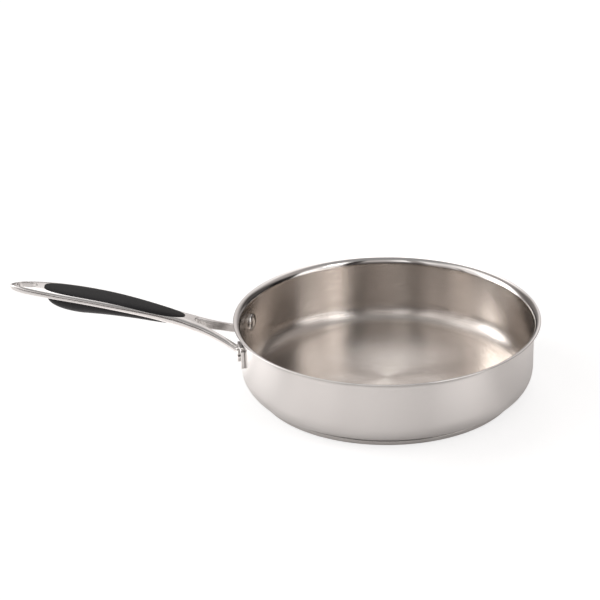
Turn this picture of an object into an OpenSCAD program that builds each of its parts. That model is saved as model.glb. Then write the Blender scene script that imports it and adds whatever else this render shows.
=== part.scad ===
// Saute pan with a bonded base and a forked, riveted handle with black grips.
// The origin is the centre of the underside, +Z is up and the handle points along -X.

/* [Vessel] */
// Outer diameter of the straight side wall
wall_d = 268; // [220:1:320]
// Height of the pouring lip above the table
pan_h = 69; // [60:1:100]
// Thickness of the drawn steel sheet
sheet_t = 1; // [0.8:0.1:1.6]
// Outer radius between the side wall and the floor
corner_r = 18.5; // [10:0.5:26]
// How far the pouring lip flares out past the wall
lip_reach = 6; // [3:0.5:9]

/* [Base] */
// Height of the bonded base under the vessel floor
base_h = 5.5; // [4:0.5:8]
// How far the base reaches out under the corner curve
base_lap = 4; // [0:0.5:8]
// Thickness of the steel cap round the heat spreader
cap_t = 0.8; // [0.5:0.1:1.2]
// Radius of the cap's lower edge
cap_edge_r = 1.6; // [1.3:0.1:2.4]
// Height of the open seam above the cap's rim
seam_h = 1.2; // [0.6:0.1:2]

/* [Handle bar] */
// How far the tops of the legs meet the wall below the lip
leg_drop = 21; // [19:0.5:24]
// Angle at which the handle leaves the wall
rise_angle = 22.8; // [16:0.2:28]
// Radius of the arc that the handle follows in side view
arc_r = 680; // [560:10:1200]
// Thickness of the legs
leg_t = 8.4; // [7:0.2:10]
// Thickness of the bar at its neck
neck_t = 9.4; // [8:0.2:11]
// Thickness of the bar along the palm
bar_t = 7.8; // [7:0.1:9]
// Width of the bar where the fork begins
shoulder_w = 23.4; // [21:0.2:30]
// Width of the bar at its neck
neck_w = 21; // [20:0.2:26]
// Greatest width of the bar, in the palm
palm_w = 32; // [29:0.2:36]
// Width of the bar beside the hanging eye
tail_w = 19.2; // [18:0.2:24]
// Distance from the wall to the neck
neck_at = 54; // [48:1:70]
// Length of the rounded tip
tip_l = 15; // [12:0.5:18]

/* [Fork] */
// Distance from the wall to the end of the gap between the legs
fork_l = 42; // [34:1:46]
// Width across the outsides of the legs at the wall
fork_w = 55; // [50:1:58]
// Width of the gap between the legs at the wall
gap_w = 40; // [34:0.5:42]
// Width of the gap at its rounded inner end
crotch_w = 6.4; // [5:0.2:9]
// Radius where the legs flow into their feet
root_r = 1.5; // [1:0.5:3]

/* [Feet and rivets] */
// How far the rivets sit below the lip
rivet_drop = 23.8; // [22:0.1:26]
// Length of each foot along the wall
foot_l = 21; // [18:0.5:26]
// Height of each foot
foot_h = 21; // [17:0.5:24]
// Thickness of each foot
foot_t = 3.2; // [2:0.1:4]
// Radius of the corners of each foot
foot_corner_r = 4; // [2:0.5:8]
// Diameter of the rivet shanks
shank_d = 6; // [5:0.2:7]
// Diameter of the domed heads inside the pan
inner_head_d = 16; // [11:0.5:17]
// Height of the domed heads inside the pan
inner_head_h = 3.4; // [2:0.2:4]
// Diameter of the button heads outside the feet
outer_head_d = 12; // [10:0.2:13]
// Height of the button heads outside the feet
outer_head_h = 2; // [1.6:0.2:3]

/* [Hanging eye] */
// Length of the hanging eye
eye_l = 18; // [14:0.2:20]
// Width of the hanging eye
eye_w = 10.4; // [7:0.2:11]
// Steel left between the upper grip and the eye
eye_gap = 7.6; // [6:0.2:16]
// Steel left between the eye and the tip
eye_end = 6.6; // [5:0.2:9]

/* [Grips] */
// Distance from the wall to the front end of the upper grip
grip_at = 51.3; // [48:0.1:58]
// Length of the upper grip
grip_l = 128.5; // [110:0.5:150]
// Length of the upper grip in front of its widest place
grip_front_l = 74.7; // [60:0.1:80]
// Greatest width of the upper grip
grip_w = 25.4; // [20:0.2:27]
// Depth of the pocket that holds the upper grip
upper_pocket = 2.6; // [2.2:0.1:3]
// How far the upper grip stands proud along its middle
grip_proud = 0.4; // [0.2:0.1:1]
// Length of the lower grip
swell_l = 116; // [90:1:120]
// Distance from the back end of the lower grip to that of the upper one
swell_back = 2.2; // [1:0.1:6]
// Length of the lower grip's rounded heel
heel_l = 34; // [24:1:44]
// Length of the lower grip's rounded front end
nose_l = 20; // [10:1:26]
// Greatest depth of the palm swell below the bar
swell_t = 11.6; // [8:0.2:18]
// Depth of the palm swell at its front end
swell_front_t = 1; // [0.6:0.1:4]
// Depth of the pocket that holds the lower grip
lower_pocket = 2.4; // [2.2:0.1:2.8]
// Steel left beside the lower grip
swell_border = 1; // [0.8:0.1:3]
// Diameter of the pegs that join the grips through the bar
peg_d = 7; // [4:0.5:9]
// Number of pegs
peg_count = 3; // [2:1:4]
// Distance from peg to peg
peg_pitch = 28; // [16:1:32]

/* [Clearances] */
// Gap between the wall and the feet
foot_fit = 0.1; // [0.05:0.05:0.3]
// Gap round the rivets
rivet_fit = 0.06; // [0.02:0.01:0.15]
// Gap between the roots of the legs and the button heads
head_fit = 0.3; // [0.2:0.1:2]
// Gap round the grips in their pockets
grip_fit = 0.1; // [0.05:0.05:0.25]
// Gap between the heat spreader and its cap
base_fit = 0.1; // [0.05:0.05:0.2]

/* [Hidden] */

// Segments in a quarter arc, spans along a loft, points round the sections of the bar and the grips
arc_n = 10;
span_n = 44;
ring_n = 32;
crown_n = 8;
swell_n = 12;
// Sides of a true round: the vessel, the rivet heads and the small bores
round_n = 180;
head_n = 64;
bore_n = 48;
// Overshoot of a cut past the faces that it opens
over = 1;
// Half width and half height left at the very end of a loft
end_half = 0.2;

wall_r = wall_d / 2;
lip_r = wall_r + lip_reach;
inner_r = wall_r - sheet_t;
base_r = wall_r - corner_r + base_lap;
foot_r = wall_r + foot_fit + foot_t;
rivet_z = pan_h - rivet_drop;
rivet_angle = asin((fork_w / 2 + root_r + head_fit + outer_head_d / 2) / wall_r);

// Places along the handle, measured out from the wall
palm_at = grip_at + grip_front_l;
grip_end = grip_at + grip_l;
handle_l = grip_end + eye_gap + eye_l + eye_end;
tip_at = handle_l - tip_l;
root_at = -wall_r + sqrt(pow(wall_r - sheet_t, 2) - pow(fork_w / 2 + root_r, 2)) + sheet_t / 2;
swell_end = grip_end - swell_back;
swell_at = swell_end - swell_l;
peg_mid = (swell_at + swell_end) / 2;

// How square the bar's section is: 2 would be an ellipse
squareness = 2.9;
// How fast the legs and the gap between them spread towards the wall
leg_flare = 1.6;
gap_flare = 1.3;
// How long the bar keeps its palm width before it narrows to the tail
tail_hold = 2.8;
// How blunt the two ends of the upper grip are
grip_front_blunt = 2.3;
grip_back_blunt = 2.5;
// How the upper grip's proud middle falls away towards its edges
crown_fall = 4;
// How the lower grip's nose and heel close, seen from above, and how the heel rises in side view
nose_close = 0.7;
heel_close = 0.5;
heel_blunt = 1.42;
heel_rise = 0.4;

// Points of an arc in the plane, from angle a0 to angle a1
function arc(cx, cy, r, a0, a1) =
    [for (i = [0:arc_n]) let (a = a0 + (a1 - a0) * i / arc_n) [cx + r * cos(a), cy + r * sin(a)]];

// A smooth step from 0 to 1
function ease(t) = (1 - cos(180 * min(max(t, 0), 1))) / 2;

// The rounding of an end: 1 away from it and 0 at the end itself
function cap(t) = sqrt(1 - pow(min(max(t, 0), 1), 2));

// A power that keeps the sign of its base, which squares an ellipse up
function squared(v) = sign(v) * pow(abs(v), 2 / squareness);

// Height of the handle's top line at a distance u out from the wall
function top_z(u) =
    let (a = asin(sin(rise_angle) - u / arc_r))
    pan_h - leg_drop + arc_r * (cos(a) - cos(rise_angle));

// Spread towards the wall: 1 there and 0 where the gap between the legs ends
function spread(u, flare) = pow(min(max(fork_l - u, 0) / fork_l, 1), flare);

// Fillet where the legs meet the feet, which follow the wall round from the handle's middle
leg_sag = wall_r - sqrt(pow(wall_r, 2) - pow((fork_w + gap_w) / 4, 2));
function root_fillet(u) =
    let (depth = min(max(foot_t + root_r - leg_sag - u, 0), root_r))
    root_r - sqrt(pow(root_r, 2) - pow(depth, 2));

// Half width of the bar, from the wall to the tip
function bar_half(u) =
    u < neck_at
    ? fork_half(u) + (neck_w - shoulder_w) / 2 * ease((u - fork_l) / (neck_at - fork_l))
    : u < palm_at
    ? neck_w / 2 + (palm_w - neck_w) / 2 * ease((u - neck_at) / (palm_at - neck_at))
    : tail_half(u) * cap((u - tip_at) / tip_l);
function fork_half(u) = (shoulder_w + (fork_w - shoulder_w) * spread(u, leg_flare)) / 2 + root_fillet(u);
function tail_half(u) = (palm_w - (palm_w - tail_w) * pow((u - palm_at) / (tip_at - palm_at), tail_hold)) / 2;

// Half width of the gap between the legs
function gap_half(u) =
    ((crotch_w + (gap_w - crotch_w) * spread(u, gap_flare)) / 2 - root_fillet(u))
    * cap((u - fork_l + crotch_w / 2) / (crotch_w / 2));

// Thickness of the bar: legs, neck, palm and the rounding at the tip
function bar_thick(u) =
    (u < neck_at
        ? leg_t + (neck_t - leg_t) * ease(u / neck_at)
        : neck_t + (bar_t - neck_t) * ease((u - neck_at) / (palm_at - neck_at)))
    * sqrt(cap((u - tip_at) / tip_l));

// Top and bottom of the bar along its middle
function crest_z(u) = top_z(u) + root_fillet(u) - bar_t / 2 * (1 - sqrt(cap((u - tip_at) / tip_l)));
function bottom_z(u) = crest_z(u) - bar_thick(u) - 2 * root_fillet(u);

// Half width of the upper grip
function grip_half(u) =
    max(end_half, grip_w / 2 * (u < palm_at
        ? blunt((palm_at - u) / grip_front_l, grip_front_blunt)
        : blunt((u - palm_at) / (grip_end - palm_at), grip_back_blunt)));
function blunt(t, power) = pow(1 - pow(min(max(t, 0), 1), power), 1 / power);

// Half width and depth of the palm swell under the bar
function swell_half(u) =
    max(end_half, (bar_half(u) - swell_border)
        * pow(cap((swell_at + nose_l - u) / nose_l), nose_close)
        * pow(cap((u - swell_end + heel_l) / heel_l), heel_close));
function swell_depth(u) =
    (swell_front_t + (swell_t - swell_front_t) * (u - swell_at) / (swell_l - heel_l))
    * cap((swell_at + nose_l - u) / nose_l)
    * pow(1 - pow(min(max((u - swell_end + heel_l) / heel_l, 0), 1), heel_blunt), heel_rise);

// How far the bar's surface has fallen from its crown at a share s of its half width
function fall(s) = 1 - pow(1 - pow(min(abs(s), 1), squareness), 1 / squareness);
function crown_z(u, y) = crest_z(u) - bar_thick(u) / 2 * fall(y / bar_half(u));

// Stations along a loft, closer together towards both ends
function stations(from, to) = [for (i = [0:span_n]) from + (to - from) * (1 - cos(180 * i / span_n)) / 2];

// Stations of the two grips, and the same stations moved out to clear the grips in their pockets
grip_line = stations(grip_at, grip_end);
swell_line = stations(swell_at, swell_end);
function moved(line, i) = line[i] - grip_fit * cos(180 * i / span_n);

// Solid through rings of points, each pair of rings closed by its convex hull
module loft(rings) {
    n = len(rings[0]);
    for (i = [0:len(rings) - 2])
        hull()
            polyhedron(
                points = concat(rings[i], rings[i + 1]),
                faces = [[for (k = [0:n - 1]) k], [for (k = [n:2 * n - 1]) k]]);
}

// Section of the bar at a distance u out from the wall
function bar_ring(u) =
    let (mid = (crest_z(u) + bottom_z(u)) / 2, half_t = max((crest_z(u) - bottom_z(u)) / 2, end_half))
    [for (i = [0:ring_n - 1])
        let (a = 360 * i / ring_n)
        [-wall_r - u, max(bar_half(u), end_half) * squared(cos(a)), mid + half_t * squared(sin(a))]];

// Upright rectangular section, for pockets
function slot_ring(u, half, low, high) =
    [for (y = [-half, half], z = [low, high]) [-wall_r - u, y, z]];

// Section of the upper grip: flat below, gently crowned above
function grip_ring(u) =
    let (half = grip_half(u), floor_z = crest_z(u) - upper_pocket + grip_fit)
    concat(
        [for (s = [-1, 1]) [-wall_r - u, s * half, floor_z]],
        [for (i = [0:crown_n])
            let (s = sin(180 * i / crown_n - 90))
            [-wall_r - u, s * half, crown_z(u, s * half) + grip_proud * (1 - pow(s, crown_fall))]]);

// Section of the lower grip: flat above, half an ellipse below
function swell_ring(u) =
    let (half = swell_half(u), roof_z = bottom_z(u) + lower_pocket - grip_fit)
    concat(
        [for (s = [-1, 1]) [-wall_r - u, s * half, roof_z]],
        [for (i = [0:swell_n])
            let (a = 180 + 180 * i / swell_n, rise = bar_thick(u) / 2 * fall(half * cos(a) / bar_half(u)))
            [-wall_r - u, half * cos(a), bottom_z(u) + rise + max(swell_depth(u), end_half) * sin(a)]]);

// Places one copy of its children at each rivet, with +Z pointing out through the wall
module at_rivets() {
    for (side = [-1, 1])
        rotate([0, 0, 180 + side * rivet_angle])
            translate([0, 0, rivet_z])
                rotate([0, 90, 0])
                    children();
}

// Round bar along the wall's axis, to trim what touches the wall
module wall_bar(r) {
    cylinder(r = r, h = pan_h + 2 * over, $fn = round_n);
}

// Drawn pan: floor, corner, wall and a lip that flares out in a quarter arc
module pan_vessel() {
    color([0.80, 0.79, 0.77])
        difference() {
            rotate_extrude($fn = round_n)
                polygon(concat(
                    [[0, base_h]],
                    arc(wall_r - corner_r, base_h + corner_r, corner_r, -90, 0),
                    arc(lip_r, pan_h - lip_reach - sheet_t, lip_reach, 180, 90),
                    arc(lip_r, pan_h - lip_reach - sheet_t, lip_reach + sheet_t, 90, 180),
                    arc(wall_r - corner_r, base_h + corner_r, corner_r - sheet_t, 0, -90),
                    [[0, base_h + sheet_t]]));
            at_rivets()
                translate([0, 0, inner_r - over])
                    cylinder(d = shank_d + 2 * rivet_fit, h = sheet_t + 2 * over, $fn = bore_n);
        }
}

// Aluminium heat spreader between the floor and the cap
module base_core() {
    core_r = base_r - cap_t - base_fit;
    color([0.62, 0.62, 0.61])
        rotate_extrude($fn = round_n)
            polygon(concat(
                [[0, cap_t]],
                arc(core_r - cap_edge_r, cap_t + cap_edge_r, cap_edge_r, -90, 0),
                [[core_r, base_h], [0, base_h]]));
}

// Steel cap pressed round the heat spreader
module base_cap() {
    rim_z = base_h - seam_h;
    color([0.74, 0.73, 0.71])
        rotate_extrude($fn = round_n)
            polygon(concat(
                [[0, 0]],
                arc(base_r - cap_edge_r, cap_edge_r, cap_edge_r, -90, 0),
                [[base_r, rim_z], [base_r - cap_t, rim_z]],
                arc(base_r - cap_edge_r, cap_edge_r, cap_edge_r - cap_t, 0, -90),
                [[0, cap_t]]));
}

// Outline of the gap between the legs, seen from above
module gap_outline() {
    reach = stations(root_at - over, fork_l);
    polygon(concat(
        [for (u = reach) [-wall_r - u, gap_half(u)]],
        [for (i = [span_n:-1:0]) [-wall_r - reach[i], -gap_half(reach[i])]]));
}

// One foot: a plate with rounded corners, curved to the wall
module foot_blank() {
    linear_extrude(height = foot_r)
        offset(r = foot_corner_r, $fn = bore_n)
            square([foot_h - 2 * foot_corner_r, foot_l - 2 * foot_corner_r], center = true);
}

// Cast frame: arched bar, forked legs, feet, grip pockets and the hanging eye
module handle_frame() {
    color([0.83, 0.82, 0.81])
        difference() {
            union() {
                difference() {
                    loft([for (u = stations(root_at, handle_l)) bar_ring(u)]);
                    linear_extrude(height = 2 * pan_h)
                        gap_outline();
                }
                intersection() {
                    at_rivets() foot_blank();
                    wall_bar(foot_r);
                }
            }
            translate([0, 0, -over])
                wall_bar(wall_r + foot_fit);
            at_rivets()
                cylinder(d = shank_d + 2 * rivet_fit, h = foot_r + over, $fn = bore_n);
            loft([for (i = [0:span_n])
                let (u = moved(grip_line, i))
                slot_ring(u, grip_half(grip_line[i]) + grip_fit, crest_z(u) - upper_pocket, crest_z(u) + over)]);
            loft([for (i = [0:span_n])
                let (u = moved(swell_line, i))
                slot_ring(u, swell_half(swell_line[i]) + grip_fit, bottom_z(u) - over, bottom_z(u) + lower_pocket)]);
            at_pegs(peg_d + 2 * grip_fit, -over, bar_t + over);
            hanging_eye();
        }
}

// Upright round bars at the pegs, from one height to another above the bar's underside
module at_pegs(d, low, high) {
    for (i = [0:peg_count - 1])
        let (u = peg_mid + peg_pitch * (i - (peg_count - 1) / 2))
            translate([-wall_r - u, 0, bottom_z(u) + low])
                cylinder(d = d, h = high - low, $fn = bore_n);
}

// Slot with round ends, cut straight down through the tip
module hanging_eye() {
    far_end = wall_r + handle_l - eye_end - eye_w / 2;
    linear_extrude(height = 2 * pan_h)
        hull()
            for (x = [far_end, far_end - eye_l + eye_w])
                translate([-x, 0])
                    circle(d = eye_w, $fn = bore_n);
}

// Black inlay in the top of the bar
module upper_grip() {
    color([0.13, 0.13, 0.13])
        loft([for (u = grip_line) grip_ring(u)]);
}

// Black palm swell under the bar, with the pegs that reach up to the inlay
module lower_grip() {
    color([0.13, 0.13, 0.13]) {
        loft([for (u = swell_line) swell_ring(u)]);
        intersection() {
            at_pegs(peg_d, 0, bar_t);
            loft([for (u = swell_line)
                slot_ring(u, bar_half(u), bottom_z(u), crest_z(u) - upper_pocket)]);
        }
    }
}

// Two rivets: domed heads inside the pan and button heads on the feet
module handle_rivets() {
    crown_r = (pow(inner_head_d / 2, 2) + pow(inner_head_h, 2)) / (2 * inner_head_h);
    crown_angle = asin(inner_head_d / 2 / crown_r);
    button_edge = outer_head_h / 2;
    color([0.78, 0.77, 0.75]) {
        at_rivets()
            translate([0, 0, inner_r - over])
                cylinder(d = shank_d, h = foot_r - inner_r + 2 * over, $fn = bore_n);
        intersection() {
            at_rivets()
                rotate_extrude($fn = head_n)
                    polygon(concat(
                        [[0, inner_r + over]],
                        arc(0, inner_r - inner_head_h + crown_r, crown_r, 270, 270 + crown_angle),
                        [[inner_head_d / 2, inner_r + over]]));
            wall_bar(inner_r - rivet_fit);
        }
        difference() {
            at_rivets()
                rotate_extrude($fn = head_n)
                    polygon(concat(
                        [[0, foot_r - over], [outer_head_d / 2, foot_r - over]],
                        arc(outer_head_d / 2 - button_edge, foot_r + outer_head_h - button_edge,
                            button_edge, 0, 90),
                        [[0, foot_r + outer_head_h]]));
            wall_bar(foot_r + rivet_fit);
        }
    }
}

pan_vessel();
base_core();
base_cap();
handle_frame();
upper_grip();
lower_grip();
handle_rivets();
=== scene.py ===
"""A steel saute pan with a forked, riveted handle, dressed for one studio photograph.

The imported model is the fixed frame. Each of its nodes is stood for by a finer piece of the same
size: the vessel and its base are turned from profiles, and the handle is lofted, cut and then
softened at its edges as a casting is. Lengths in the shape code are in millimetres, as in the
model's source.
"""
import math

import bmesh
import bpy
from mathutils import Matrix, Vector

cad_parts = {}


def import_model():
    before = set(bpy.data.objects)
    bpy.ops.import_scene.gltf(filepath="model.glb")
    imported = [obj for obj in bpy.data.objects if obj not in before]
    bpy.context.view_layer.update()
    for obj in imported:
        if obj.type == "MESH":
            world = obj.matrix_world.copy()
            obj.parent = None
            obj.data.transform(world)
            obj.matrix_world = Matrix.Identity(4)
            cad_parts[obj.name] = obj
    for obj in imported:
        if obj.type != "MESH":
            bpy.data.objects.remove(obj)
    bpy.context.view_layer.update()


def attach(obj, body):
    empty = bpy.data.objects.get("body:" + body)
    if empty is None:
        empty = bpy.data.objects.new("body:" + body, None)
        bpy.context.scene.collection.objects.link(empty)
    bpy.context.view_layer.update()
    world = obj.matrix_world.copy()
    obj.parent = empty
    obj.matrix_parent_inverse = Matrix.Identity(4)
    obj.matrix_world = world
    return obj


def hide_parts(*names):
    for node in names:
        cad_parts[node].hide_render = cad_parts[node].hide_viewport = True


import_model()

MM = 0.001

# Vessel
WALL_D = 268
PAN_H = 69
SHEET_T = 1
CORNER_R = 18.5
LIP_REACH = 6
RIM_EDGE_R = 0.48

# Base
BASE_H = 5.5
BASE_LAP = 4
CAP_T = 0.8
CAP_EDGE_R = 1.6
SEAM_H = 1.2
BASE_FIT = 0.1
SPREADER_EDGE_R = 0.3
CAP_RIM_HALF_FLAT = 0.05

# Handle bar
LEG_DROP = 21
RISE_ANGLE = math.radians(22.8)
ARC_R = 680
LEG_T = 8.4
NECK_T = 9.4
BAR_T = 7.8
SHOULDER_W = 23.4
NECK_W = 21
PALM_W = 32
TAIL_W = 19.2
NECK_AT = 54
TIP_L = 15
SQUARENESS = 2.9
LEG_FLARE = 1.6
GAP_FLARE = 1.3
TAIL_HOLD = 2.8

# Fork, feet and rivets
FORK_L = 42
FORK_W = 55
GAP_W = 40
CROTCH_W = 6.4
DRAFT = math.radians(11)
GAP_REACH = 9
ROOT_R = 1.5
RIVET_DROP = 23.8
FOOT_L = 21
FOOT_H = 21
FOOT_T = 3.2
FOOT_CORNER_R = 4
SHANK_D = 6
INNER_HEAD_D = 16
INNER_HEAD_H = 3.4
DOME_EDGE = 0.8
OUTER_HEAD_D = 12
OUTER_HEAD_H = 2

# Hanging eye
EYE_L = 18
EYE_W = 10.4
EYE_GAP = 7.6
EYE_END = 6.6

# Grips
GRIP_AT = 51.3
GRIP_L = 128.5
GRIP_FRONT_L = 74.7
GRIP_W = 25.4
GRIP_FRONT_BLUNT = 2.5
GRIP_BACK_BLUNT = 3.2
UPPER_POCKET = 2.6
GRIP_PROUD = 0.8
CROWN_FALL = 4
SWELL_L = 116
SWELL_BACK = 2.2
HEEL_L = 34
NOSE_L = 20
SWELL_T = 11.6
SWELL_FRONT_T = 1
LOWER_POCKET = 2.4
SWELL_BORDER = 1
NOSE_CLOSE = 0.7
HEEL_CLOSE = 0.5
HEEL_BLUNT = 1.42
HEEL_RISE = 0.4
PEG_D = 7
PEG_COUNT = 3
PEG_PITCH = 28

# Clearances
FOOT_FIT = 0.1
RIVET_FIT = 0.06
HEAD_FIT = 0.3
GRIP_FIT = 0.1

# Places that follow from the sizes
WALL_R = WALL_D / 2
LIP_R = WALL_R + LIP_REACH
INNER_R = WALL_R - SHEET_T
BASE_R = WALL_R - CORNER_R + BASE_LAP
FOOT_R = WALL_R + FOOT_FIT + FOOT_T
RIVET_Z = PAN_H - RIVET_DROP
RIVET_ANGLE = math.asin((FORK_W / 2 + ROOT_R + HEAD_FIT + OUTER_HEAD_D / 2) / WALL_R)
PALM_AT = GRIP_AT + GRIP_FRONT_L
GRIP_END = GRIP_AT + GRIP_L
HANDLE_L = GRIP_END + EYE_GAP + EYE_L + EYE_END
TIP_AT = HANDLE_L - TIP_L
ROOT_AT = -WALL_R + math.sqrt(INNER_R ** 2 - (FORK_W / 2 + ROOT_R) ** 2) + SHEET_T / 2
SWELL_END = GRIP_END - SWELL_BACK
SWELL_AT = SWELL_END - SWELL_L
LEG_SAG = WALL_R - math.sqrt(WALL_R ** 2 - ((FORK_W + GAP_W) / 4) ** 2)

# How far cutting and cropping bodies reach past what they shape, and how far joined solids overlap
OVERCUT = 4
FOOT_BITE = 6
FOOT_SHELL_BITE = 8
POCKET_OVER = 2
RIVET_OVER = 9
DOME_BACK = 2
OVERLAP = 1

# Least half widths at the ends of lofts, and the half width at which the gap has its full draft
LEAST_HALF = 0.2
LEAST_GAP_HALF = 0.05
FULL_DRAFT_HALF = 4

# Fineness of the turned and the lofted meshes
ROUND_N = 384
ARC_N = 14
EDGE_N = 6
RUN_N = 6
LONGEST_RUN = 1.2
ON_AXIS = 1e-6
BAR_SPANS = 230
BAR_POINTS = 112
GAP_SPANS = 90
GRIP_SPANS = 150
CROWN_N = 40
SWELL_N = 48
HOLE_N = 48
EYE_N = 24
RIVET_N = 96
DOME_N = 28
CAST_VOXEL = 0.36
CAST_SMOOTH = 14

# Edges sharper than this many degrees stay sharp in the shading
CAST_CREASE = 50
GRIP_CREASE = 45
RIVET_CREASE = 40

# Grain of the materials: noise scales, and in metres the drift of the turned lines and the depths
# of the reliefs. OUTSIDE_LINES is the share of that depth left on the outside of the vessel.
LINE_SCALE = 5200
STREAK_SCALE = 1100
CLOUD_SCALE = 60
SCUFF_SCALE = 900
SCUFF_STRETCH = (1, 6, 6)
SKIN_SCALE = 2600
SKIN_CLOUD_SCALE = 90
CORE_LINE_SCALE = 3000
LINE_DRIFT = 0.006
STREAK_DEPTH = 0.00015
CLOUD_DEPTH = 0.00002
SKIN_DEPTH = 0.00004
CORE_DEPTH = 0.00001
OUTSIDE_LINES = 0.12
# Roughness of the lines and scuffs as shares of a steel's own, and the other roughnesses in full
LINE_GLOSS = (0.82, 1.2)
SCUFF_GLOSS = (0.8, 1.25)
SKIN_ROUGHNESS = (0.50, 0.62)
SKIN_SPECULAR = 0.30
CORE_ROUGHNESS = (0.42, 0.55)
# Turns the spread of a brushed highlight across the lines, as a share of a full turn
BRUSH_TURN = 0.25
# Depths into the sheet, as shares of its thickness, between which the look of the vessel's
# outside takes over, and how far above and below the foot of the lip its gloss changes
INSIDE_EDGE = (0.7, 0.3)
LIP_BLEND = 1

# The camera was fitted to the photograph's rim, base and wall outlines
CAMERA_DISTANCE = 1700
CAMERA_RISE = math.radians(24.839)
CAMERA_YAW = math.radians(-2.915)
CAMERA_PITCH = math.radians(-0.522)
CAMERA_ROLL = math.radians(-1.497)
CAMERA_AIM_Z = 69.26
CAMERA_TURN = math.radians(2)
FOCAL_PIXELS = 1862.1
PICTURE_PIXELS = 600
SENSOR_MM = 36
NEAR_CLIP = 0.05
FAR_CLIP = 50

# Floor: half its width in metres, its greys to the camera, in metal and to the light, and its glow
# to the camera
FLOOR_HALF = 6
FLOOR_IN_CAMERA = 0.5
GLOW_IN_CAMERA = 0.72
FLOOR_IN_METAL = 0.7
FLOOR_IN_LIGHT = 0.75
# How much of its glow the floor shows in the metal, by metres from the middle of the pan: dimmed
# close
# # to the pan as a painted contact shadow, and dimmed again further out
FLOOR_PAINTED_SHADE = ((0.12, 0.30), (0.20, 0.80), (0.26, 1), (0.285, 1), (0.35, 0.5))

# What stands round the room, as (direction in degrees from +X, brightness): walls, screens and
# gaps. The low ring stands near the floor, the others rise above it, and the floor ring is the
# floor's own glow in the metal.
LOW_RING = (
    (-180, 2.6), (-175, 2.3), (-160, 0.50), (-155, 0.20), (-150, 0.05), (-55, 0.05), (-50, 0.81),
    (-45, 1.16), (-35, 1.56), (-25, 1.31), (-5, 0.02), (45, 0.02), (55, 0.29), (75, 0.29),
    (85, 0.60), (90, 0.90), (95, 0.38), (105, 0.05), (125, 0.05), (145, 0.40), (157, 2.4),
    (170, 2.7), (180, 2.6),
)
MIDDLE_RING = (
    (-180, 3.8), (-172, 1.6), (-165, 1.0), (-155, 1.0), (-153, 0.35), (-149, 0.35), (-147, 0.8),
    (-140, 0.5), (-125, 0.5), (-115, 0.10), (-95, 0.15), (-75, 0.20), (-54, 0.02), (-52, 0.8),
    (-45, 1.1), (-35, 1.0), (-25, 1.7), (-12, 1.4), (-9, 0.05), (12, 0.02), (25, 0.10),
    (60, 0.08), (80, 0.78), (90, 0.82), (97, 1.0), (108, 0.25), (135, 0.15), (147, 0.4),
    (153, 1.6), (160, 3.8), (180, 3.8),
)
HIGH_RING = (
    (-180, 1.5), (-170, 1.2), (-145, 0.9), (-125, 1.2), (-122, 0.4), (-111, 0.4), (-108, 1.4),
    (-100, 1.2), (-90, 0.7), (-68, 0.55), (-64, 0.05), (-54, 0.05), (-48, 0.80), (-40, 1.35),
    (-35, 1.12), (0, 0.35), (20, 0.45), (45, 0.45), (65, 0.9), (80, 1.2), (90, 2.1), (103, 2.2),
    (118, 0.50), (145, 0.3), (160, 1.1), (180, 1.5),
)
FLOOR_RING = (
    (-180, 0.84), (-170, 0.90), (-150, 0.41), (-140, 0.59), (-120, 0.57), (-110, 0.49),
    (-100, 0.50), (-70, 0.355), (-60, 0.34), (-40, 0.51), (-30, 0.51), (-20, 0.32), (-10, 0.31),
    (10, 0.40), (150, 0.02), (170, 1.7), (180, 0.84),
)
# Tints of the dark gaps and of the pale walls, the brightness from which a place is fully wall, the
# brightness that a ring's colour stands for at 1, and the ceiling's brightness
GAP_TINT = (1.0, 0.90, 0.86)
WALL_TINT = (1.0, 0.98, 0.97)
WALL_LEVEL = 1.5
RING_TOP = 4
CEILING = 0.35
# Heights of a direction between which each ring gives way to the next, and the last to the ceiling
LAYERS = ((0.12, 0.30), (0.50, 0.70), (0.80, 0.95))


def clamp(t):
    """t held between 0 and 1."""
    return min(max(t, 0.0), 1.0)


def ease(t):
    """A smooth step from 0 to 1."""
    return (1 - math.cos(math.pi * clamp(t))) / 2


def cap(t):
    """The rounding of an end: 1 away from it and 0 at the end itself."""
    return math.sqrt(1 - clamp(t) ** 2)


def blunt(t, power):
    """A blunter rounding of an end than cap."""
    return (1 - clamp(t) ** power) ** (1 / power)


def squared(v):
    """A power that keeps its base's sign, which squares an ellipse up."""
    return math.copysign(abs(v) ** (2 / SQUARENESS), v)


def top_z(u):
    """Height of the handle's top line at a distance u out from the wall."""
    a = math.asin(math.sin(RISE_ANGLE) - u / ARC_R)
    return PAN_H - LEG_DROP + ARC_R * (math.cos(a) - math.cos(RISE_ANGLE))


def spread(u, flare):
    """Spread towards the wall: 1 there and 0 where the gap between the legs ends."""
    return (min(max(FORK_L - u, 0) / FORK_L, 1)) ** flare


def root_fillet(u):
    """Fillet where the legs meet the feet."""
    depth = min(max(FOOT_T + ROOT_R - LEG_SAG - u, 0), ROOT_R)
    return ROOT_R - math.sqrt(ROOT_R ** 2 - depth ** 2)


def bar_half(u):
    """Half width of the bar, from the wall to the tip."""
    if u < NECK_AT:
        fork = (SHOULDER_W + (FORK_W - SHOULDER_W) * spread(u, LEG_FLARE)) / 2 + root_fillet(u)
        return fork + (NECK_W - SHOULDER_W) / 2 * ease((u - FORK_L) / (NECK_AT - FORK_L))
    if u < PALM_AT:
        return NECK_W / 2 + (PALM_W - NECK_W) / 2 * ease((u - NECK_AT) / (PALM_AT - NECK_AT))
    tail = (PALM_W - (PALM_W - TAIL_W) * ((u - PALM_AT) / (TIP_AT - PALM_AT)) ** TAIL_HOLD) / 2
    return tail * cap((u - TIP_AT) / TIP_L)


def gap_half(u):
    """Half width of the gap between the legs."""
    width = CROTCH_W + (GAP_W - CROTCH_W) * spread(u, GAP_FLARE)
    return (width / 2 - root_fillet(u)) * cap((u - FORK_L + CROTCH_W / 2) / (CROTCH_W / 2))


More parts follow.
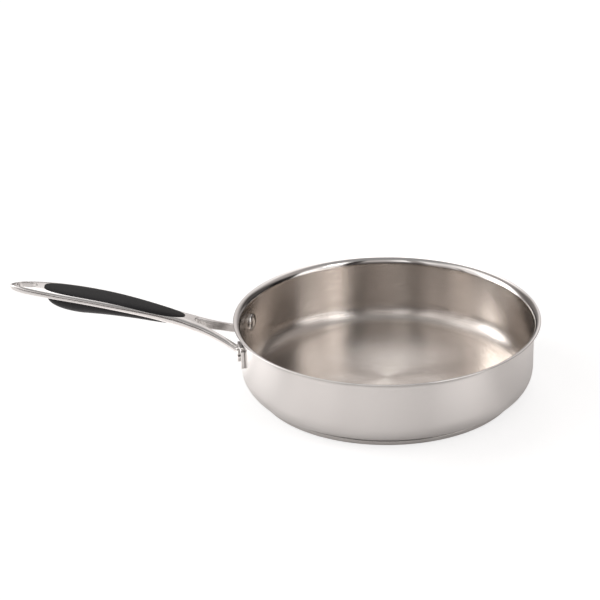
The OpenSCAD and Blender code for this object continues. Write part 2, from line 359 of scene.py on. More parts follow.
def tip_round(u):
    """Rounding of the tip in side view."""
    return math.sqrt(cap((u - TIP_AT) / TIP_L))


def bar_thick(u):
    """Thickness of the bar."""
    if u < NECK_AT:
        thick = LEG_T + (NECK_T - LEG_T) * ease(u / NECK_AT)
    else:
        thick = NECK_T + (BAR_T - NECK_T) * ease((u - NECK_AT) / (PALM_AT - NECK_AT))
    return thick * tip_round(u)


def crest_z(u):
    """Top of the bar along its middle."""
    return top_z(u) + root_fillet(u) - BAR_T / 2 * (1 - tip_round(u))


def bottom_z(u):
    """Bottom of the bar along its middle."""
    return crest_z(u) - bar_thick(u) - 2 * root_fillet(u)


def grip_half(u):
    """Half width of the upper grip."""
    if u < PALM_AT:
        share = blunt((PALM_AT - u) / GRIP_FRONT_L, GRIP_FRONT_BLUNT)
    else:
        share = blunt((u - PALM_AT) / (GRIP_END - PALM_AT), GRIP_BACK_BLUNT)
    return GRIP_W / 2 * share


def swell_half(u):
    """Half width of the lower grip."""
    nose = cap((SWELL_AT + NOSE_L - u) / NOSE_L) ** NOSE_CLOSE
    heel = cap((u - SWELL_END + HEEL_L) / HEEL_L) ** HEEL_CLOSE
    return (bar_half(u) - SWELL_BORDER) * nose * heel


def swell_depth(u):
    """Depth of the palm swell below the bar."""
    depth = SWELL_FRONT_T + (SWELL_T - SWELL_FRONT_T) * (u - SWELL_AT) / (SWELL_L - HEEL_L)
    heel = (1 - clamp((u - SWELL_END + HEEL_L) / HEEL_L) ** HEEL_BLUNT) ** HEEL_RISE
    return depth * cap((SWELL_AT + NOSE_L - u) / NOSE_L) * heel


def fall(share):
    """How far the bar's surface has fallen from its crown at a share of its half width."""
    return 1 - (1 - min(abs(share), 1) ** SQUARENESS) ** (1 / SQUARENESS)


def stations(start, end, count):
    """Places along a loft, closer together towards both ends."""
    turns = [math.pi * i / count for i in range(count + 1)]
    return [start + (end - start) * (1 - math.cos(turn)) / 2 for turn in turns]


def arc(cx, cy, r, a0, a1, count=ARC_N):
    """Points of an arc in the plane, from angle a0 to angle a1 in degrees."""
    angles = [math.radians(a0 + (a1 - a0) * i / count) for i in range(count + 1)]
    return [(cx + r * math.cos(a), cy + r * math.sin(a)) for a in angles]


def circle(r):
    """A round outline about the origin."""
    return arc(0, 0, r, 0, 360 - 360 / HOLE_N, HOLE_N - 1)


def run(start, end):
    """Points along a straight run, closer together towards both ends, without the ends."""
    (x0, y0), (x1, y1) = start, end
    shares = stations(0, 1, RUN_N)[1:-1]
    return [(x0 + (x1 - x0) * s, y0 + (y1 - y0) * s) for s in shares]


def closed(loop):
    """A closed profile whose long straight runs are divided, so that they shade flat."""
    points = []
    for i, point in enumerate(loop):
        following = loop[(i + 1) % len(loop)]
        points.append(point)
        if math.dist(point, following) > LONGEST_RUN:
            points += run(point, following)
    return points


def new_object(name, verts, faces):
    """An object from points in millimetres and faces, with its normals turned outwards."""
    mesh = bpy.data.meshes.new(name)
    mesh.from_pydata([(x * MM, y * MM, z * MM) for x, y, z in verts], [], faces)
    build = bmesh.new()
    build.from_mesh(mesh)
    bmesh.ops.recalc_face_normals(build, faces=build.faces)
    build.to_mesh(mesh)
    build.free()
    obj = bpy.data.objects.new(name, mesh)
    bpy.context.scene.collection.objects.link(obj)
    return obj


def turned(name, profile, segments=ROUND_N):
    """A solid turned about Z from a closed profile of (radius, height) points."""
    verts, rows, faces = [], [], []
    for r, z in profile:
        if r < ON_AXIS:
            rows.append([len(verts)] * segments)
            verts.append((0, 0, z))
        else:
            rows.append(list(range(len(verts), len(verts) + segments)))
            angles = [2 * math.pi * k / segments for k in range(segments)]
            verts += [(r * math.cos(a), r * math.sin(a), z) for a in angles]
    for i, low in enumerate(rows):
        high = rows[(i + 1) % len(rows)]
        for k in range(segments):
            after = (k + 1) % segments
            corners = list(dict.fromkeys([low[k], low[after], high[after], high[k]]))
            if len(corners) > 2:
                faces.append(corners)
    return new_object(name, verts, faces)


def lofted(name, rings):
    """A closed solid through rings of points."""
    n = len(rings[0])
    verts = [point for ring in rings for point in ring]
    faces = [list(range(n)), list(range(len(verts) - n, len(verts)))]
    for i in range(len(rings) - 1):
        for k in range(n):
            after = (k + 1) % n
            faces.append([i * n + k, i * n + after, (i + 1) * n + after, (i + 1) * n + k])
    return new_object(name, verts, faces)


def prism(name, outline, low, high):
    """An upright prism over an outline of (x, y) points."""
    return lofted(name, [[(x, y, z) for x, y in outline] for z in (low, high)])


def drum(name, r, low, high):
    """A solid cylinder about Z."""
    return turned(name, [(0, low), (r, low), (r, high), (0, high)])


def modify(obj, kind, **settings):
    """Applies one modifier to an object at once."""
    modifier = obj.modifiers.new(kind, kind)
    for key, value in settings.items():
        setattr(modifier, key, value)
    evaluated = obj.evaluated_get(bpy.context.evaluated_depsgraph_get())
    mesh = bpy.data.meshes.new_from_object(evaluated)
    obj.modifiers.clear()
    old = obj.data
    obj.data = mesh
    bpy.data.meshes.remove(old)


def combine(obj, tool, operation):
    """Joins another solid to an object, or cuts or crops the object with it."""
    modify(obj, "BOOLEAN", object=tool, operation=operation, solver="MANIFOLD")
    mesh = tool.data
    bpy.data.objects.remove(tool)
    bpy.data.meshes.remove(mesh)


def shade(obj, angle=None):
    """Smooth shading, with edges sharper than an angle in degrees left sharp."""
    mesh = obj.data
    mesh.shade_smooth()
    if angle is not None:
        mesh.set_sharp_from_angle(angle=math.radians(angle))


def at_rivet(obj, side):
    """Turns an object built along +Z so that it points out through the wall at one rivet."""
    turn = Matrix.Rotation(math.pi + side * RIVET_ANGLE, 4, "Z")
    lay = Matrix.Translation((0, 0, RIVET_Z * MM)) @ Matrix.Rotation(math.pi / 2, 4, "Y")
    obj.data.transform(turn @ lay)
    return obj


def vessel():
    """Drawn pan: floor, corner, wall and a lip that flares out in a quarter arc."""
    corner_mid = (WALL_R - CORNER_R, BASE_H + CORNER_R)
    lip_mid = (LIP_R, PAN_H - LIP_REACH - SHEET_T)
    edge = RIM_EDGE_R
    profile = closed(
        [(0, BASE_H)]
        + arc(*corner_mid, CORNER_R, -90, 0)
        + arc(*lip_mid, LIP_REACH, 180, 90)[:-1]
        + arc(LIP_R - edge, PAN_H - SHEET_T + edge, edge, -90, 0, EDGE_N)
        + arc(LIP_R - edge, PAN_H - edge, edge, 0, 90, EDGE_N)
        + arc(*lip_mid, LIP_REACH + SHEET_T, 90, 180)[1:]
        + arc(*corner_mid, CORNER_R - SHEET_T, 0, -90)
        + [(0, BASE_H + SHEET_T)]
    )
    obj = turned("pan_vessel_body", profile)
    shade(obj)
    return obj


def spreader():
    """Aluminium heat spreader between the floor and the cap."""
    r = BASE_R - CAP_T - BASE_FIT
    edge = SPREADER_EDGE_R
    profile = closed(
        [(0, CAP_T)]
        + arc(r - CAP_EDGE_R, CAP_T + CAP_EDGE_R, CAP_EDGE_R, -90, 0, EDGE_N)
        + arc(r - edge, BASE_H - edge, edge, 0, 90, count=4)
        + [(0, BASE_H)]
    )
    obj = turned("base_spreader", profile)
    shade(obj)
    return obj


def base_shell():
    """Steel cap pressed round the heat spreader."""
    rim_z = BASE_H - SEAM_H
    lip = CAP_T / 2 - CAP_RIM_HALF_FLAT
    profile = closed(
        [(0, 0)]
        + arc(BASE_R - CAP_EDGE_R, CAP_EDGE_R, CAP_EDGE_R, -90, 0)
        + arc(BASE_R - lip, rim_z - lip, lip, 0, 90, count=5)
        + arc(BASE_R - CAP_T + lip, rim_z - lip, lip, 90, 180, count=5)
        + arc(BASE_R - CAP_EDGE_R, CAP_EDGE_R, CAP_EDGE_R - CAP_T, 0, -90)
        + [(0, CAP_T)]
    )
    obj = turned("base_shell", profile)
    shade(obj)
    return obj


def bar_ring(u):
    """Section of the bar at a distance u out from the wall."""
    mid = (crest_z(u) + bottom_z(u)) / 2
    half_t = max((crest_z(u) - bottom_z(u)) / 2, LEAST_HALF)
    half_w = max(bar_half(u), LEAST_HALF)
    ring = []
    for k in range(BAR_POINTS):
        a = 2 * math.pi * k / BAR_POINTS
        y, z = half_w * squared(math.cos(a)), mid + half_t * squared(math.sin(a))
        ring.append((-WALL_R - u, y, z))
    return ring


def slot_ring(u, half, low, high):
    """Upright rectangular section, for pockets."""
    corners = ((-half, low), (half, low), (half, high), (-half, high))
    return [(-WALL_R - u, y, z) for y, z in corners]


def gap_ring(u):
    """Section of the gap between the legs, a little wider at the top, from a casting's draft."""
    mid = (crest_z(u) + bottom_z(u)) / 2
    half = max(gap_half(u), LEAST_GAP_HALF)
    lean = GAP_REACH * math.tan(DRAFT) * min(half / FULL_DRAFT_HALF, 1)
    low, high = mid - GAP_REACH, mid + GAP_REACH
    corners = ((-half + lean, low), (half - lean, low), (half + lean, high), (-half - lean, high))
    return [(-WALL_R - u, y, z) for y, z in corners]


def foot(side):
    """One foot: a plate with rounded corners, curved to the wall."""
    flat_h, flat_l = FOOT_H / 2 - FOOT_CORNER_R, FOOT_L / 2 - FOOT_CORNER_R
    outline = []
    for sx, sy, start in ((1, 1, 0), (-1, 1, 90), (-1, -1, 180), (1, -1, 270)):
        outline += arc(sx * flat_h, sy * flat_l, FOOT_CORNER_R, start, start + 90, count=8)
    obj = at_rivet(prism("foot", outline, WALL_R - FOOT_BITE, FOOT_R + OVERCUT), side)
    inner, top = WALL_R - FOOT_SHELL_BITE, PAN_H + OVERCUT
    shell = turned("foot_face", [(inner, 0), (FOOT_R, 0), (FOOT_R, top), (inner, top)])
    combine(obj, shell, "INTERSECT")
    return obj


def pocket(name, start, end, half, level, low, high):
    """Cutter for a grip's pocket, with the grip's clearance, between two heights about a level."""
    rings = []
    for i, station in enumerate(stations(start, end, GRIP_SPANS)):
        u = station - GRIP_FIT * math.cos(math.pi * i / GRIP_SPANS)
        width = max(half(station), LEAST_HALF) + GRIP_FIT
        rings.append(slot_ring(u, width, level(u) + low, level(u) + high))
    return lofted(name, rings)


def pegs(d, low, high):
    """Upright round bars at the pegs, from one height to another above the bar's underside."""
    bars = []
    for i in range(PEG_COUNT):
        u = (SWELL_AT + SWELL_END) / 2 + PEG_PITCH * (i - (PEG_COUNT - 1) / 2)
        z = bottom_z(u)
        outline = [(-WALL_R - u + x, y) for x, y in circle(d / 2)]
        bars.append(prism("peg", outline, z + low, z + high))
    return bars


def handle():
    """Cast frame: arched bar, forked legs, feet, grip pockets and the hanging eye."""
    obj = lofted("handle_casting", [bar_ring(u) for u in stations(ROOT_AT, HANDLE_L, BAR_SPANS)])
    gap = [gap_ring(u) for u in stations(ROOT_AT - OVERCUT, FORK_L, GAP_SPANS)]
    combine(obj, lofted("gap", gap), "DIFFERENCE")
    for side in (-1, 1):
        combine(obj, foot(side), "UNION")
    far_x, r = -(WALL_R + HANDLE_L - EYE_END - EYE_W / 2), EYE_W / 2
    eye = arc(far_x + EYE_L - EYE_W, 0, r, -90, 90, EYE_N) + arc(far_x, 0, r, 90, 270, EYE_N)
    combine(obj, prism("eye", eye, 0, 2 * PAN_H), "DIFFERENCE")
    combine(obj, drum("wall", WALL_R + FOOT_FIT, -OVERCUT, PAN_H + OVERCUT), "DIFFERENCE")
    soften(obj)
    for side in (-1, 1):
        hole = prism("hole", circle(SHANK_D / 2 + RIVET_FIT), WALL_R - OVERCUT, FOOT_R + OVERCUT)
        combine(obj, at_rivet(hole, side), "DIFFERENCE")
    upper = ("upper_slot", GRIP_AT, GRIP_END, grip_half, crest_z, -UPPER_POCKET, POCKET_OVER)
    lower = ("lower_slot", SWELL_AT, SWELL_END, swell_half, bottom_z, -POCKET_OVER, LOWER_POCKET)
    for cutter in (upper, lower):
        combine(obj, pocket(*cutter), "DIFFERENCE")
    for peg in pegs(PEG_D + 2 * GRIP_FIT, -OVERLAP, BAR_T + OVERLAP):
        combine(obj, peg, "DIFFERENCE")
    shade(obj, CAST_CREASE)
    return obj


def soften(obj):
    """Rounds every edge a little, as a polished casting's are."""
    modify(obj, "REMESH", mode="VOXEL", voxel_size=CAST_VOXEL * MM, use_smooth_shade=True)
    modify(obj, "SMOOTH", factor=0.5, iterations=CAST_SMOOTH)


def upper_grip():
    """Black inlay in the top of the bar, gently crowned."""
    rings = []
    for u in stations(GRIP_AT, GRIP_END, GRIP_SPANS):
        half = max(grip_half(u), LEAST_HALF)
        low = crest_z(u) - UPPER_POCKET + GRIP_FIT
        ring = [(-WALL_R - u, -half, low), (-WALL_R - u, half, low)]
        for i in range(CROWN_N + 1):
            s = math.cos(math.pi * i / CROWN_N)
            z = crest_z(u) - bar_thick(u) / 2 * fall(s * half / bar_half(u))
            ring.append((-WALL_R - u, s * half, z + GRIP_PROUD * (1 - abs(s) ** CROWN_FALL)))
        rings.append(ring)
    obj = lofted("upper_inlay", rings)
    shade(obj, GRIP_CREASE)
    return obj


def lower_grip():
    """Black palm swell under the bar, with the pegs that reach up to the inlay."""
    rings = []
    for u in stations(SWELL_AT, SWELL_END, GRIP_SPANS):
        half = max(swell_half(u), LEAST_HALF)
        roof = bottom_z(u) + LOWER_POCKET - GRIP_FIT
        ring = [(-WALL_R - u, half, roof), (-WALL_R - u, -half, roof)]
        for i in range(SWELL_N + 1):
            a = math.pi + math.pi * i / SWELL_N
            rise = bar_thick(u) / 2 * fall(half * math.cos(a) / bar_half(u))
            z = bottom_z(u) + rise + max(swell_depth(u), LEAST_HALF) * math.sin(a)
            ring.append((-WALL_R - u, half * math.cos(a), z))
        rings.append(ring)
    obj = lofted("palm_swell", rings)
    for peg in pegs(PEG_D, LOWER_POCKET / 2, BAR_T - UPPER_POCKET - GRIP_FIT):
        combine(obj, peg, "UNION")
    shade(obj, GRIP_CREASE)
    return obj


def rivets():
    """Two rivets: domed heads inside the pan and button heads on the feet."""
    edge = OUTER_HEAD_H / 2
    face, top = FOOT_R - OVERLAP, FOOT_R + OUTER_HEAD_H
    pieces = []
    for side in (-1, 1):
        dome = [(x * INNER_HEAD_D / 2, INNER_R - DOME_EDGE + y * (INNER_HEAD_H - DOME_EDGE))
                for x, y in arc(0, 0, 1, -90, 0, DOME_N)]
        dome += [(INNER_HEAD_D / 2, INNER_R + DOME_BACK), (0, INNER_R + DOME_BACK)]
        inner = at_rivet(turned("dome", dome, RIVET_N), side)
        combine(inner, drum("bore", INNER_R - RIVET_FIT, 0, PAN_H + RIVET_OVER), "INTERSECT")
        button = closed(
            [(0, face), (OUTER_HEAD_D / 2, face)]
            + arc(OUTER_HEAD_D / 2 - edge, top - edge, edge, 0, 90, count=10)
            + [(0, top)]
        )
        outer = at_rivet(turned("button", button, RIVET_N), side)
        combine(outer, drum("foot_bar", FOOT_R + RIVET_FIT, 0, PAN_H + RIVET_OVER), "DIFFERENCE")
        shank = prism("shank", circle(SHANK_D / 2), INNER_R - OVERLAP, FOOT_R + OVERLAP)
        combine(inner, at_rivet(shank, side), "UNION")
        combine(inner, outer, "UNION")
        pieces.append(inner)
    combine(pieces[0], pieces[1], "UNION")
    pieces[0].name = "rivet_pair"
    shade(pieces[0], RIVET_CREASE)
    return pieces[0]


class Graph:
    """A short hand for building a node tree."""

    def __init__(self, tree):
        self.tree = tree

    def node(self, kind, **values):
        """Adds a node; values that name an input set it, and the others set its properties."""
        node = self.tree.nodes.new(kind)
        for key, value in values.items():
            if key in node.inputs:
                node.inputs[key].default_value = value
            else:
                setattr(node, key, value)
        return node

    def link(self, source, target):
        """Links an output socket to an input socket."""
        self.tree.links.new(source, target)

    def feed(self, target, value):
        """Feeds an input socket with a number, a colour or an output socket."""
        if isinstance(value, bpy.types.NodeSocket):
            self.link(value, target)
        else:
            target.default_value = value

    def reckon(self, operation, first, second):
        """A number reckoned from two others."""
        node = self.node("ShaderNodeMath", operation=operation)
        self.feed(node.inputs[0], first)
        self.feed(node.inputs[1], second)
        return node.outputs[0]

    def split(self, vector):
        """The three parts of a vector."""
        node = self.node("ShaderNodeSeparateXYZ")
        self.link(vector, node.inputs[0])
        return node.outputs["X"], node.outputs["Y"], node.outputs["Z"]

    def joined(self, x, y):
        """A vector from two parts, its third being 0."""
        node = self.node("ShaderNodeCombineXYZ")
        self.link(x, node.inputs["X"])
        self.link(y, node.inputs["Y"])
        return node.outputs[0]

    def length(self, vector):
        """The length of a vector."""
        node = self.node("ShaderNodeVectorMath", operation="LENGTH")
        self.link(vector, node.inputs[0])
        return node.outputs["Value"]

    def stops(self, source, stops):
        """A colour that a source leads through (place, colour) stops."""
        ramp = self.node("ShaderNodeValToRGB")
        elements = ramp.color_ramp.elements
        elements.remove(elements[1])
        for i, (place, colour) in enumerate(stops):
            stop = elements[0] if i == 0 else elements.new(place)
            stop.position = place
            stop.color = (*colour, 1)
        self.link(source, ramp.inputs["Fac"])
        return ramp.outputs["Color"]

    def ramp(self, source, low, high, start=0.3, end=0.7):
        """A value between two colours or numbers as the source goes from start to end."""
        if isinstance(low, tuple):
            return self.stops(source, ((start, low), (end, high)))
        mapped = self.node("ShaderNodeMapRange")
        for end_name, source_value, value in (("Min", start, low), ("Max", end, high)):
            mapped.inputs["From " + end_name].default_value = source_value
            mapped.inputs["To " + end_name].default_value = value
        self.link(source, mapped.inputs["Value"])
        return mapped.outputs["Result"]

    def around(self, vector, ring):
        """A colour that follows a ring of brightness round Z, as a share of RING_TOP."""
        turn = self.node("ShaderNodeTexGradient", gradient_type="RADIAL")
        self.link(vector, turn.inputs["Vector"])
        stops = []
        for degrees, level in ring:
            share = min(level / WALL_LEVEL, 1)
            tint = [gap + (wall - gap) * share for gap, wall in zip(GAP_TINT, WALL_TINT)]
            stops.append(((degrees + 180) / 360, [level / RING_TOP * part for part in tint]))
        return self.stops(turn.outputs["Fac"], stops)

    def matte(self, level):
        """A matte grey."""
        return self.node("ShaderNodeBsdfDiffuse", Color=(level, level, level, 1)).outputs[0]

    def lit(self, level, strength, colour=(1, 1, 1, 1)):
        """A matte grey with a glow of its own."""
        glow = self.node("ShaderNodeEmission")
        self.feed(glow.inputs["Strength"], strength)
        self.feed(glow.inputs["Color"], colour)
        both = self.node("ShaderNodeAddShader")
        self.link(self.matte(level), both.inputs[0])
        self.link(glow.outputs[0], both.inputs[1])
        return both.outputs[0]

    def background(self, colour, strength):
        """A background of one brightness and a colour."""
        back = self.node("ShaderNodeBackground", Strength=strength)
        self.feed(back.inputs["Color"], colour)
        return back.outputs[0]

    def mixed(self, share, first, second):
        """Two shaders mixed by a share."""
        mix = self.node("ShaderNodeMixShader")
        self.link(share, mix.inputs["Fac"])
        self.link(first, mix.inputs[1])
        self.link(second, mix.inputs[2])
        return mix.outputs[0]

    def output(self, kind, surface):
        """Ends the tree in its output."""
        self.link(surface, self.node(kind).inputs["Surface"])


class Look(Graph):
    """A material under construction, with its principled shader."""

    def __init__(self, name):
        self.material = bpy.data.materials.new(name)
        self.material.use_nodes = True
        super().__init__(self.material.node_tree)
        self.shader = self.tree.nodes["Principled BSDF"]

    def wear(self, colour, gloss, **others):
        """Feeds the shader; an underscore in a name stands for a space."""
        self.feed(self.shader.inputs["Base Color"], colour)
        self.feed(self.shader.inputs["Roughness"], gloss)
        for key, value in others.items():
            self.shader.inputs[key.replace("_", " ")].default_value = value

    def noise(self, scale, detail, stretch=(1, 1, 1), turned_lines=False):
        """Noise over the object's own coordinates in metres, stretched along its axes."""
        coords = self.node("ShaderNodeTexCoord").outputs["Object"]
        mapping = self.node("ShaderNodeMapping", Scale=stretch)
        self.link(self.polar(coords) if turned_lines else coords, mapping.inputs["Vector"])
        noise = self.node("ShaderNodeTexNoise", Scale=scale, Detail=detail)
        self.link(mapping.outputs["Vector"], noise.inputs["Vector"])
        return noise.outputs["Fac"]

    def polar(self, coords):
        """Distance from Z and height as a position, drifting slowly with the turn about Z."""
        x, y, height = self.split(coords)
        flat = self.joined(x, y)
        turn = self.node("ShaderNodeVectorMath", operation="NORMALIZE")
        self.link(flat, turn.inputs[0])
        drift = self.node("ShaderNodeVectorMath", operation="SCALE", Scale=LINE_DRIFT)
        self.link(turn.outputs[0], drift.inputs[0])
        drift_x, drift_y, _ = self.split(drift.outputs[0])
        reach = self.reckon("ADD", self.length(flat), drift_x)
        return self.joined(reach, self.reckon("ADD", height, drift_y))

    def sheet_place(self):
        """A point's height, and its distance from the line that the sheet is bent round."""
        x, y, height = self.split(self.node("ShaderNodeTexCoord").outputs["Object"])
        out = self.reckon("SUBTRACT", self.length(self.joined(x, y)), (WALL_R - CORNER_R) * MM)
        down = self.reckon("SUBTRACT", (BASE_H + CORNER_R) * MM, height)
        held = [self.reckon("MAXIMUM", part, 0) for part in (out, down)]
        return height, self.length(self.joined(*held))

    def between(self, share, first, second):
        """A number that goes from the first to the second, a plain one, with a share."""
        mix = self.node("ShaderNodeMix")
        for socket, value in (("Factor", share), ("A", first), ("B", second)):
            self.feed(mix.inputs[socket], value)
        return mix.outputs["Result"]

    def blend(self, share, first, second):
        """A colour that goes from the first, a plain one, to the second with a share."""
        mix = self.node("ShaderNodeMix", data_type="RGBA")
        for socket, value in ((0, share), (6, (*first, 1)), (7, second)):
            self.feed(mix.inputs[socket], value)
        return mix.outputs[2]

    def bump(self, source, distance, share=None):
        """Fine relief from a source, its depth in metres, over all or a share of it."""
        bump = self.node("ShaderNodeBump", Distance=distance)
        if share is not None:
            self.link(share, bump.inputs["Strength"])
        self.link(source, bump.inputs["Height"])
        self.link(bump.outputs["Normal"], self.shader.inputs["Normal"])


def brushed_steel(name, light, dark, rough, grain, polished=None, outer=None):
    """Steel brushed round its axis: fine turned lines, and highlights that spread across them.

    A polished roughness and an outer colour go together and are for the vessel: its lip is then
    polished, its lip and outside have that colour, and the relief of its lines is faint there. The
    inside keeps the light and dark colours: their streaks are the steel's own uneven tone, and
    their warmer, darker cast than the outer colour is a painted brown reflection.
    """
    look = Look(name)
    lines = look.noise(LINE_SCALE, detail=2.0, turned_lines=True)
    streaks = look.noise(STREAK_SCALE, detail=3.0, turned_lines=True)
    colour = look.ramp(streaks, dark, light)
    gloss = look.ramp(lines, *(rough * share for share in LINE_GLOSS))
    inside = None
    if polished is not None:
        height, depth = look.sheet_place()
        start, end = ((CORNER_R - share * SHEET_T) * MM for share in INSIDE_EDGE)
        inside = look.ramp(depth, 1.0, OUTSIDE_LINES, start, end)
        start, end = ((PAN_H - LIP_REACH + side * LIP_BLEND) * MM for side in (-1, 1))
        at_lip = look.ramp(height, 0.0, 1.0, start, end)
        gloss = look.between(at_lip, gloss, polished)
        # The inside's warmer, darker colour against the outer colour is a painted brown reflection
        colour = look.blend(inside, outer, colour)
    look.wear(colour, gloss, Metallic=1.0, Anisotropic=grain, Anisotropic_Rotation=BRUSH_TURN)
    tangent = look.node("ShaderNodeTangent", direction_type="RADIAL", axis="Z")
    look.link(tangent.outputs["Tangent"], look.shader.inputs["Tangent"])
    look.bump(streaks, STREAK_DEPTH, inside)
    return look.material


def cast_steel(name, light, dark, rough):
    """Polished cast steel: faint clouding in its gloss and a very slight unevenness."""
    look = Look(name)
    clouds = look.noise(CLOUD_SCALE, detail=3.0)
    scuffs = look.noise(SCUFF_SCALE, detail=3.0, stretch=SCUFF_STRETCH)
    gloss = look.ramp(scuffs, *(rough * share for share in SCUFF_GLOSS))
    look.wear(look.ramp(clouds, dark, light), gloss, Metallic=1.0)
    look.bump(clouds, CLOUD_DEPTH)
    return look.material


def soft_black(name, dark, light):
    """Matte black moulded grip: a fine grained skin with a dull sheen."""
    look = Look(name)
    grain = look.noise(SKIN_SCALE, detail=3.0)
    colour = look.ramp(look.noise(SKIN_CLOUD_SCALE, detail=2.0), dark, light)
    look.wear(colour, look.ramp(grain, *SKIN_ROUGHNESS), Specular_IOR_Level=SKIN_SPECULAR)
    look.bump(grain, SKIN_DEPTH)
    return look.material


def dull_aluminium(name, dark, light):
    """Turned aluminium, seen only in the seam of the base."""
    look = Look(name)
    lines = look.noise(CORE_LINE_SCALE, detail=2.0, turned_lines=True)
    look.wear(look.ramp(lines, dark, light), look.ramp(lines, *CORE_ROUGHNESS), Metallic=1.0)
    look.bump(lines, CORE_DEPTH)
    return look.material


def dress(obj, material, slot, *nodes):
    """Gives a piece its material, hides the nodes of the model that it stands for and hangs it
    under the root body.
    """
    obj.data.materials.clear()
    obj.data.materials.append(material)
    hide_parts(*nodes)
    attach(obj, "root")


def softbox(name, centre, towards, width, height, power):
    """A rectangular studio light, its sizes in metres and its power in watts."""
    light = bpy.data.lights.new(name, "AREA")
    light.shape = "RECTANGLE"
    light.size = width
    light.size_y = height
    light.energy = power
    obj = bpy.data.objects.new(name, light)
    bpy.context.scene.collection.objects.link(obj)
    facing = (Vector(towards) - Vector(centre)).to_track_quat("-Z", "Y")
    obj.matrix_world = Matrix.Translation(centre) @ facing.to_matrix().to_4x4()


def photo_camera():
    """The camera at the photograph's place, looking its way."""
    out, rise = math.cos(CAMERA_RISE), math.sin(CAMERA_RISE)
    place = Vector((0, -CAMERA_DISTANCE * out, CAMERA_AIM_Z + CAMERA_DISTANCE * rise))
    down = CAMERA_RISE + CAMERA_PITCH
    aim_x, aim_y = math.sin(CAMERA_YAW), math.cos(CAMERA_YAW)
    forward = Vector((aim_x * math.cos(down), aim_y * math.cos(down), -math.sin(down)))
    right = forward.cross(Vector((0, 0, 1))).normalized()
    up = right.cross(forward)
    tilted_right = math.cos(CAMERA_ROLL) * right + math.sin(CAMERA_ROLL) * up
    tilted_up = -math.sin(CAMERA_ROLL) * right + math.cos(CAMERA_ROLL) * up
    axes = Matrix((tilted_right, tilted_up, -forward)).transposed().to_4x4()
    data = bpy.data.cameras.new("photo_camera")
    data.sensor_width = SENSOR_MM
    data.lens = FOCAL_PIXELS * SENSOR_MM / PICTURE_PIXELS
    data.clip_start = NEAR_CLIP
    data.clip_end = FAR_CLIP
    camera = bpy.data.objects.new("photo_camera", data)
    bpy.context.scene.collection.objects.link(camera)
    turn = Matrix.Rotation(CAMERA_TURN, 4, "Z")
    camera.matrix_world = turn @ Matrix.Translation(place * MM) @ axes
    bpy.context.scene.camera = camera


def floor():
    """A wide pale floor that reads white to the camera and keeps the pan's shadow."""
    signs = ((-1, -1), (1, -1), (1, 1), (-1, 1))
    corners = [(x * FLOOR_HALF, y * FLOOR_HALF, 0) for x, y in signs]
    mesh = bpy.data.meshes.new("studio_floor")
    mesh.from_pydata(corners, [], [(0, 1, 2, 3)])
    material = bpy.data.materials.new("studio_white")
    material.use_nodes = True
    g = Graph(material.node_tree)
    g.tree.nodes.clear()
    path = g.node("ShaderNodeLightPath").outputs
    reflected = g.reckon("MAXIMUM", path["Is Glossy Ray"], path["Is Transmission Ray"])
    place = g.node("ShaderNodeTexCoord").outputs["Object"]
    # The floor's glow in the metal is dimmed close to the pan: a painted contact shadow
    painted_shade = g.stops(g.length(place), [(metres, (share,) * 3) for metres, share in FLOOR_PAINTED_SHADE])
    glow = g.reckon("MULTIPLY", painted_shade, RING_TOP)
    in_metal = g.lit(FLOOR_IN_METAL, glow, g.around(place, FLOOR_RING))
    seen_by_light = g.mixed(reflected, g.matte(FLOOR_IN_LIGHT), in_metal)
    in_camera = g.lit(FLOOR_IN_CAMERA, GLOW_IN_CAMERA)
    g.output("ShaderNodeOutputMaterial", g.mixed(path["Is Camera Ray"], seen_by_light, in_camera))
    mesh.materials.append(material)
    obj = bpy.data.objects.new("studio_floor", mesh)
    bpy.context.scene.collection.objects.link(obj)


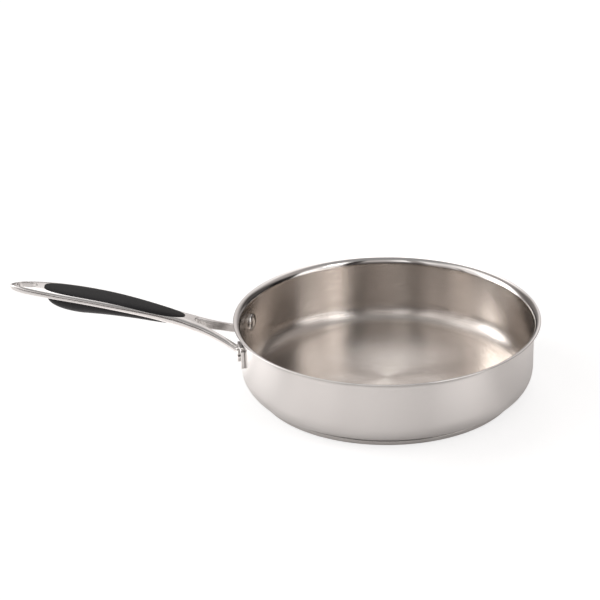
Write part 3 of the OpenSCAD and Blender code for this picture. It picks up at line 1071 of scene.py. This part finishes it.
def world():
    """A room of pale walls and darker gaps: plain white to the camera, uneven to all else."""
    scene = bpy.context.scene
    scene.world = bpy.data.worlds.new("studio_room")
    scene.world.use_nodes = True
    g = Graph(scene.world.node_tree)
    g.tree.nodes.clear()
    direction = g.node("ShaderNodeTexCoord").outputs["Generated"]
    height = g.split(direction)[2]
    rings = (LOW_RING, MIDDLE_RING, HIGH_RING)
    room, *above = [g.background(g.around(direction, ring), RING_TOP) for ring in rings]
    above.append(g.background((*WALL_TINT, 1), CEILING))
    for layer, (start, full) in zip(above, LAYERS):
        rise = g.node("ShaderNodeMapRange", interpolation_type="SMOOTHSTEP")
        rise.inputs["From Min"].default_value = start
        rise.inputs["From Max"].default_value = full
        g.link(height, rise.inputs["Value"])
        room = g.mixed(rise.outputs["Result"], room, layer)
    white = g.background((1, 1, 1, 1), 1)
    path = g.node("ShaderNodeLightPath").outputs
    g.output("ShaderNodeOutputWorld", g.mixed(path["Is Camera Ray"], room, white))
    scene.view_settings.view_transform = "Standard"


photo_camera()
floor()
world()
softbox("key", centre=(1.06, -0.77, 1.65), towards=(0, 0, 0), width=0.5, height=0.6, power=1.8)

# The vessel's inside colours are warmer and darker than its outer colour: a painted brown
# reflection inside the pan
vessel_steel = brushed_steel(
    "vessel_steel", light=(0.76, 0.715, 0.675), dark=(0.66, 0.615, 0.575), rough=0.21, grain=1.0,
    polished=0.10, outer=(0.76, 0.748, 0.738))
base_steel = brushed_steel(
    "base_steel", light=(0.70, 0.685, 0.672), dark=(0.65, 0.635, 0.622), rough=0.22, grain=0.5)
handle_steel = cast_steel(
    "handle_steel", light=(0.79, 0.775, 0.765), dark=(0.76, 0.745, 0.735), rough=0.20)
rivet_steel = cast_steel(
    "rivet_steel", light=(0.76, 0.745, 0.73), dark=(0.73, 0.715, 0.70), rough=0.06)
grip_black = soft_black("grip_black", dark=(0.011, 0.011, 0.0125), light=(0.015, 0.015, 0.0165))
core_aluminium = dull_aluminium("core_aluminium", dark=(0.5, 0.5, 0.5), light=(0.6, 0.6, 0.59))

dress(vessel(), vessel_steel, "vessel_steel", "pan_vessel")
dress(spreader(), core_aluminium, "core_aluminium", "base_core")
dress(base_shell(), base_steel, "base_steel", "base_cap")
dress(handle(), handle_steel, "handle_steel", "handle_frame")
dress(upper_grip(), grip_black, "grip_black", "upper_grip")
dress(lower_grip(), grip_black, "grip_black", "lower_grip")
dress(rivets(), rivet_steel, "rivet_steel", "handle_rivets")
